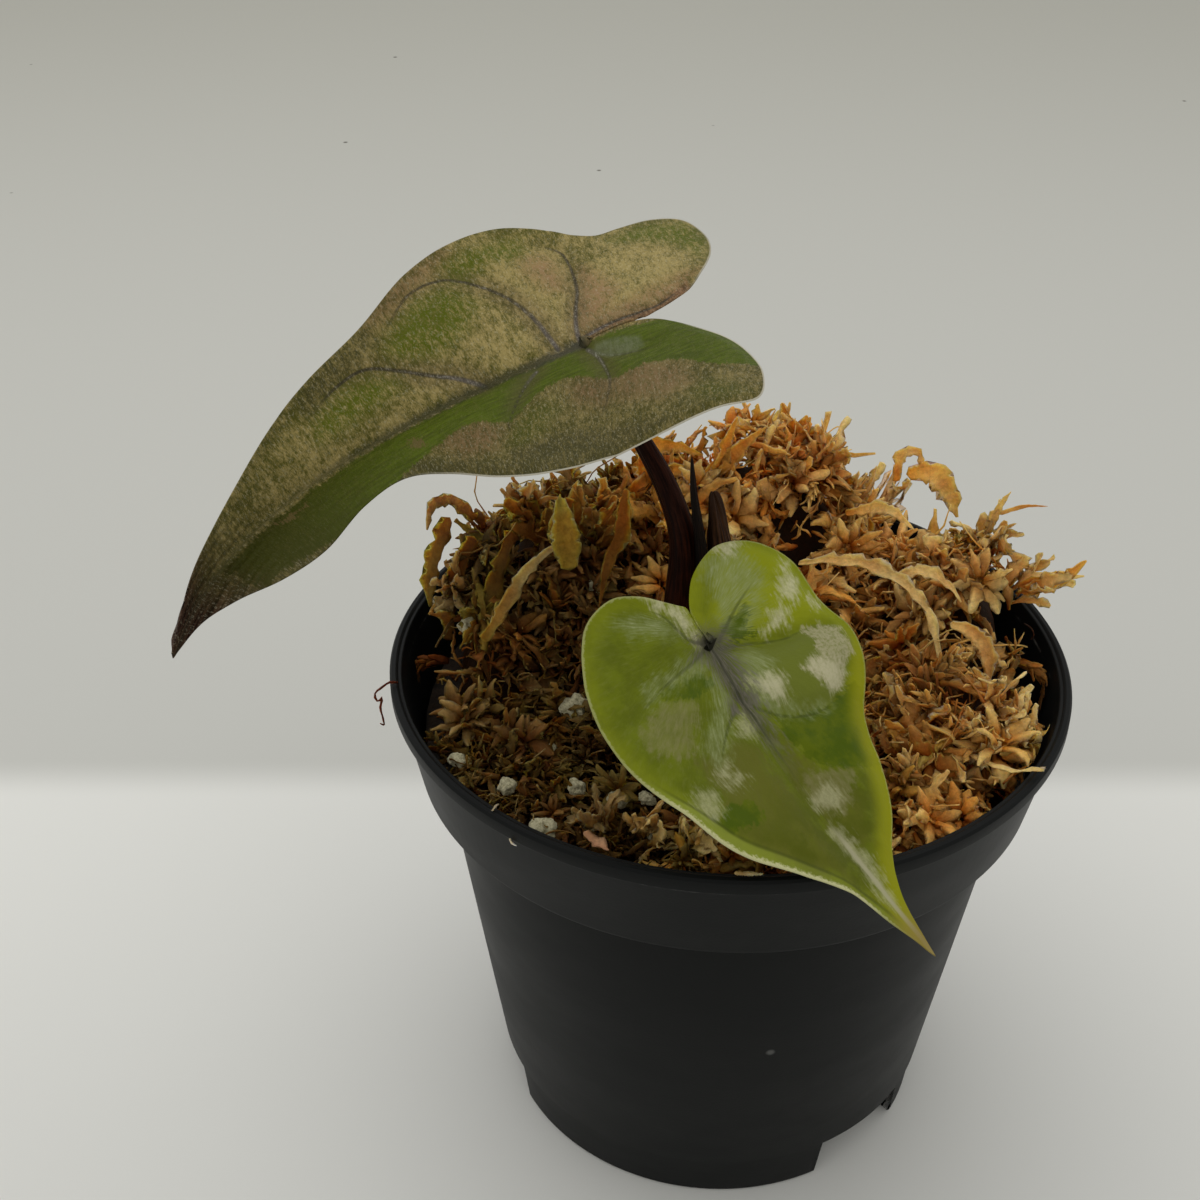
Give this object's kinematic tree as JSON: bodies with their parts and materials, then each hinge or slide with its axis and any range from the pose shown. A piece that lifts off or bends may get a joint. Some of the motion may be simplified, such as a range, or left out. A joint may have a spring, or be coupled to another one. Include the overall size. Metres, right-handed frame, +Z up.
{
  "type": "potted aroid house plant",
  "caption": "Small aroid house plant with arrow-shaped leaves on slim stalks, rooted in moss in a round tapered nursery pot that stands on its foot.",
  "frame": {"origin": "middle of the whole part's outline seen from above, on the plane that the pot's foot stands on; the pot's axis is 12 mm along +X and 4 mm along +Y from it", "axes": "+Z up along the pot's axis, -Y towards the viewer of the picture, +X to the viewer's right"},
  "size_m": [0.129, 0.1131, 0.1421],
  "materials": {
    "pot_plastic": "moulded, faintly satin, scuffed at the lip",
    "mix": "damp, fibrous and crumbly",
    "corm_skin": "papery brown skin",
    "dark_stalk": "smooth, finely striped dark brown",
    "pale_stalk": "smooth pale green",
    "dry_sheath": "dull, dry and ribbed",
    "large_blade": "finely grained, dusty pink and green with dark veins",
    "small_blade": "satin lime green with cream patches",
    "moss": "loose dry fibre, straw to orange brown",
    "perlite": "rough white grains",
    "husk": "thin dry scale"
  },
  "bodies": {
    "root": {"pot": "pot_plastic", "potting_mix": "mix", "corm": "corm_skin", "petiole_large": "dark_stalk", "petiole_small": "pale_stalk", "leaf_spike": "dark_stalk", "sheath_stub": "dry_sheath", "leaf_large": "large_blade", "leaf_small": "small_blade", "moss_right": "moss", "moss_back_right": "moss", "moss_back": "moss", "moss_back_left": "moss", "moss_left": "moss", "moss_front_left": "moss", "moss_front": "moss", "perlite_01": "perlite", "perlite_02": "perlite", "perlite_03": "perlite", "perlite_04": "perlite", "perlite_05": "perlite", "perlite_06": "perlite", "perlite_07": "perlite", "perlite_08": "perlite", "perlite_09": "perlite", "perlite_10": "perlite", "perlite_11": "perlite", "husk_flake": "husk"}
  },
  "joints": []
}
